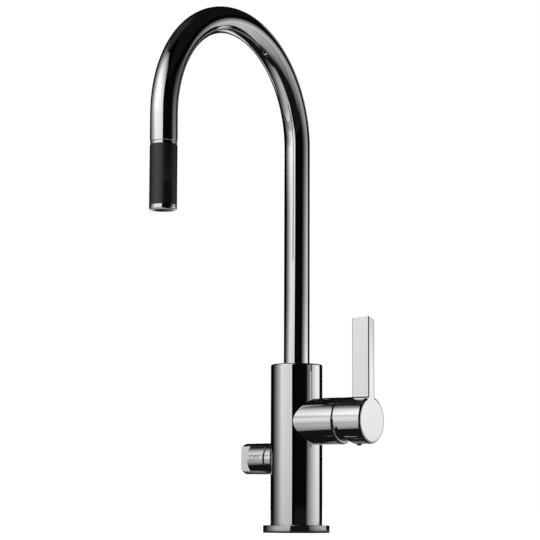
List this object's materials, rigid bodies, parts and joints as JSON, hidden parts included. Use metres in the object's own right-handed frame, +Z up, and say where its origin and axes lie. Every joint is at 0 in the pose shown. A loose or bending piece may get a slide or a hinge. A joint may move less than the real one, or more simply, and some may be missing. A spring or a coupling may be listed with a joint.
{
  "type": "kitchen mixer tap",
  "caption": "Single-lever kitchen mixer tap with a tall swivelling arched spout, a pull-out hand spray and a shut-off knob for an appliance feed.",
  "frame": {"origin": "centre of the deck hole, on the worktop surface that the base gasket rests on", "axes": "+Z up along the column, the spout reaches towards -Y, the mixer lever is on the +X side and the shut-off knob on the -X side"},
  "size_m": [0.1402, 0.2462, 0.4733],
  "materials": {
    "gasket_rubber": "matt moulded rubber",
    "chrome_column": "polished chrome plate",
    "chrome_spout": "polished chrome plate",
    "chrome_lever": "polished chrome plate",
    "chrome_knob": "polished chrome plate",
    "chrome_trim": "polished chrome plate",
    "raw_brass": "turned, unplated",
    "bearing_plastic": "natural moulded plastic",
    "cartridge_plastic": "glass-filled moulded plastic",
    "disc_ceramic": "lapped",
    "seal_rubber": "smooth moulded rubber",
    "screw_steel": "turned stainless steel",
    "hose_braid": "grey nylon braid over a rubber tube",
    "grip_rubber": "soft matt rubber",
    "aerator_plastic": "dark moulded plastic"
  },
  "bodies": {
    "column": {"base_gasket": "gasket_rubber", "base_flange": "chrome_column", "column_shell": "chrome_column", "side_branch": "chrome_column", "port_block": "raw_brass", "waterway_core": "raw_brass", "lower_bearing": "bearing_plastic", "upper_bearing": "bearing_plastic", "column_top_ring": "chrome_trim", "spout_stop_screw": "screw_steel", "cartridge_seat_block": "raw_brass", "cartridge_seals": "seal_rubber", "cartridge_base": "cartridge_plastic", "cartridge_housing": "cartridge_plastic", "fixed_ceramic_disc": "disc_ceramic", "cartridge_nut": "raw_brass", "cartridge_dome": "chrome_trim", "valve_collar": "chrome_knob", "valve_gasket": "seal_rubber", "valve_body": "raw_brass", "valve_seat_seal": "seal_rubber", "valve_fixed_disc": "disc_ceramic"},
    "spout": {"spout_tube": "chrome_spout", "spout_sleeve": "raw_brass", "docking_guide": "bearing_plastic", "pull_out_hose": "hose_braid", "hose_inlet_fitting": "raw_brass"},
    "hose_end": {"hose_free_end": "hose_braid", "hose_ferrule": "screw_steel", "hose_tail": "raw_brass"},
    "handset": {"handset_core": "chrome_trim", "grip_sleeve": "grip_rubber", "handset_top_ring": "chrome_trim", "handset_bottom_ring": "chrome_trim", "aerator_housing": "aerator_plastic", "aerator_screen": "aerator_plastic", "aerator_spreader": "aerator_plastic", "aerator_seal": "seal_rubber", "check_valve": "cartridge_plastic", "hose_washer": "seal_rubber", "hose_cone_nut": "raw_brass"},
    "carrier": {"cartridge_rotor": "cartridge_plastic", "pivot_pin": "screw_steel"},
    "moving_disc": {"moving_ceramic_disc": "disc_ceramic", "disc_driver": "cartridge_plastic"},
    "lever": {"lever_handle": "chrome_lever", "lever_spindle": "screw_steel", "lever_grub_screw": "screw_steel", "lever_plug": "chrome_lever"},
    "valve": {"valve_knob": "chrome_knob", "valve_moving_disc": "disc_ceramic", "valve_spindle": "raw_brass", "valve_ring": "seal_rubber", "knob_grub_screw": "screw_steel"}
  },
  "joints": [
    {"name": "spout_swivel", "type": "hinge", "parent": "column", "child": "spout", "pos_m": [0, 0, 0.14], "axis": [0, 0, 1], "range_deg": [-60, 60]},
    {"name": "handset_pull", "type": "slide", "parent": "spout", "child": "hose_end", "axis": [0, 0, -1], "range_m": [0, 0.25], "deforming": ["hose_free_end"]},
    {"name": "handset_turn", "type": "hinge", "parent": "hose_end", "child": "handset", "pos_m": [0, -0.2034, 0.3], "axis": [0, 0, 1], "continuous": true},
    {"name": "lever_turn", "type": "hinge", "parent": "column", "child": "carrier", "pos_m": [0.05, 0, 0.102], "axis": [1, 0, 0], "range_deg": [-45, 45]},
    {"name": "lever_tilt", "type": "hinge", "parent": "carrier", "child": "lever", "pos_m": [0.05, 0, 0.102], "axis": [0, 1, 0], "range_deg": [0, 25]},
    {"name": "disc_slide", "type": "slide", "parent": "carrier", "child": "moving_disc", "axis": [0, 0, 1], "range_m": [0, 0.0046]},
    {"name": "valve_turn", "type": "hinge", "parent": "column", "child": "valve", "pos_m": [-0.04, 0, 0.0683], "axis": [-1, 0, 0], "range_deg": [0, 90]}
  ],
  "couplings": [
    {"joint": "disc_slide", "follows": "lever_tilt", "m_per_rad": 0.0105}
  ]
}
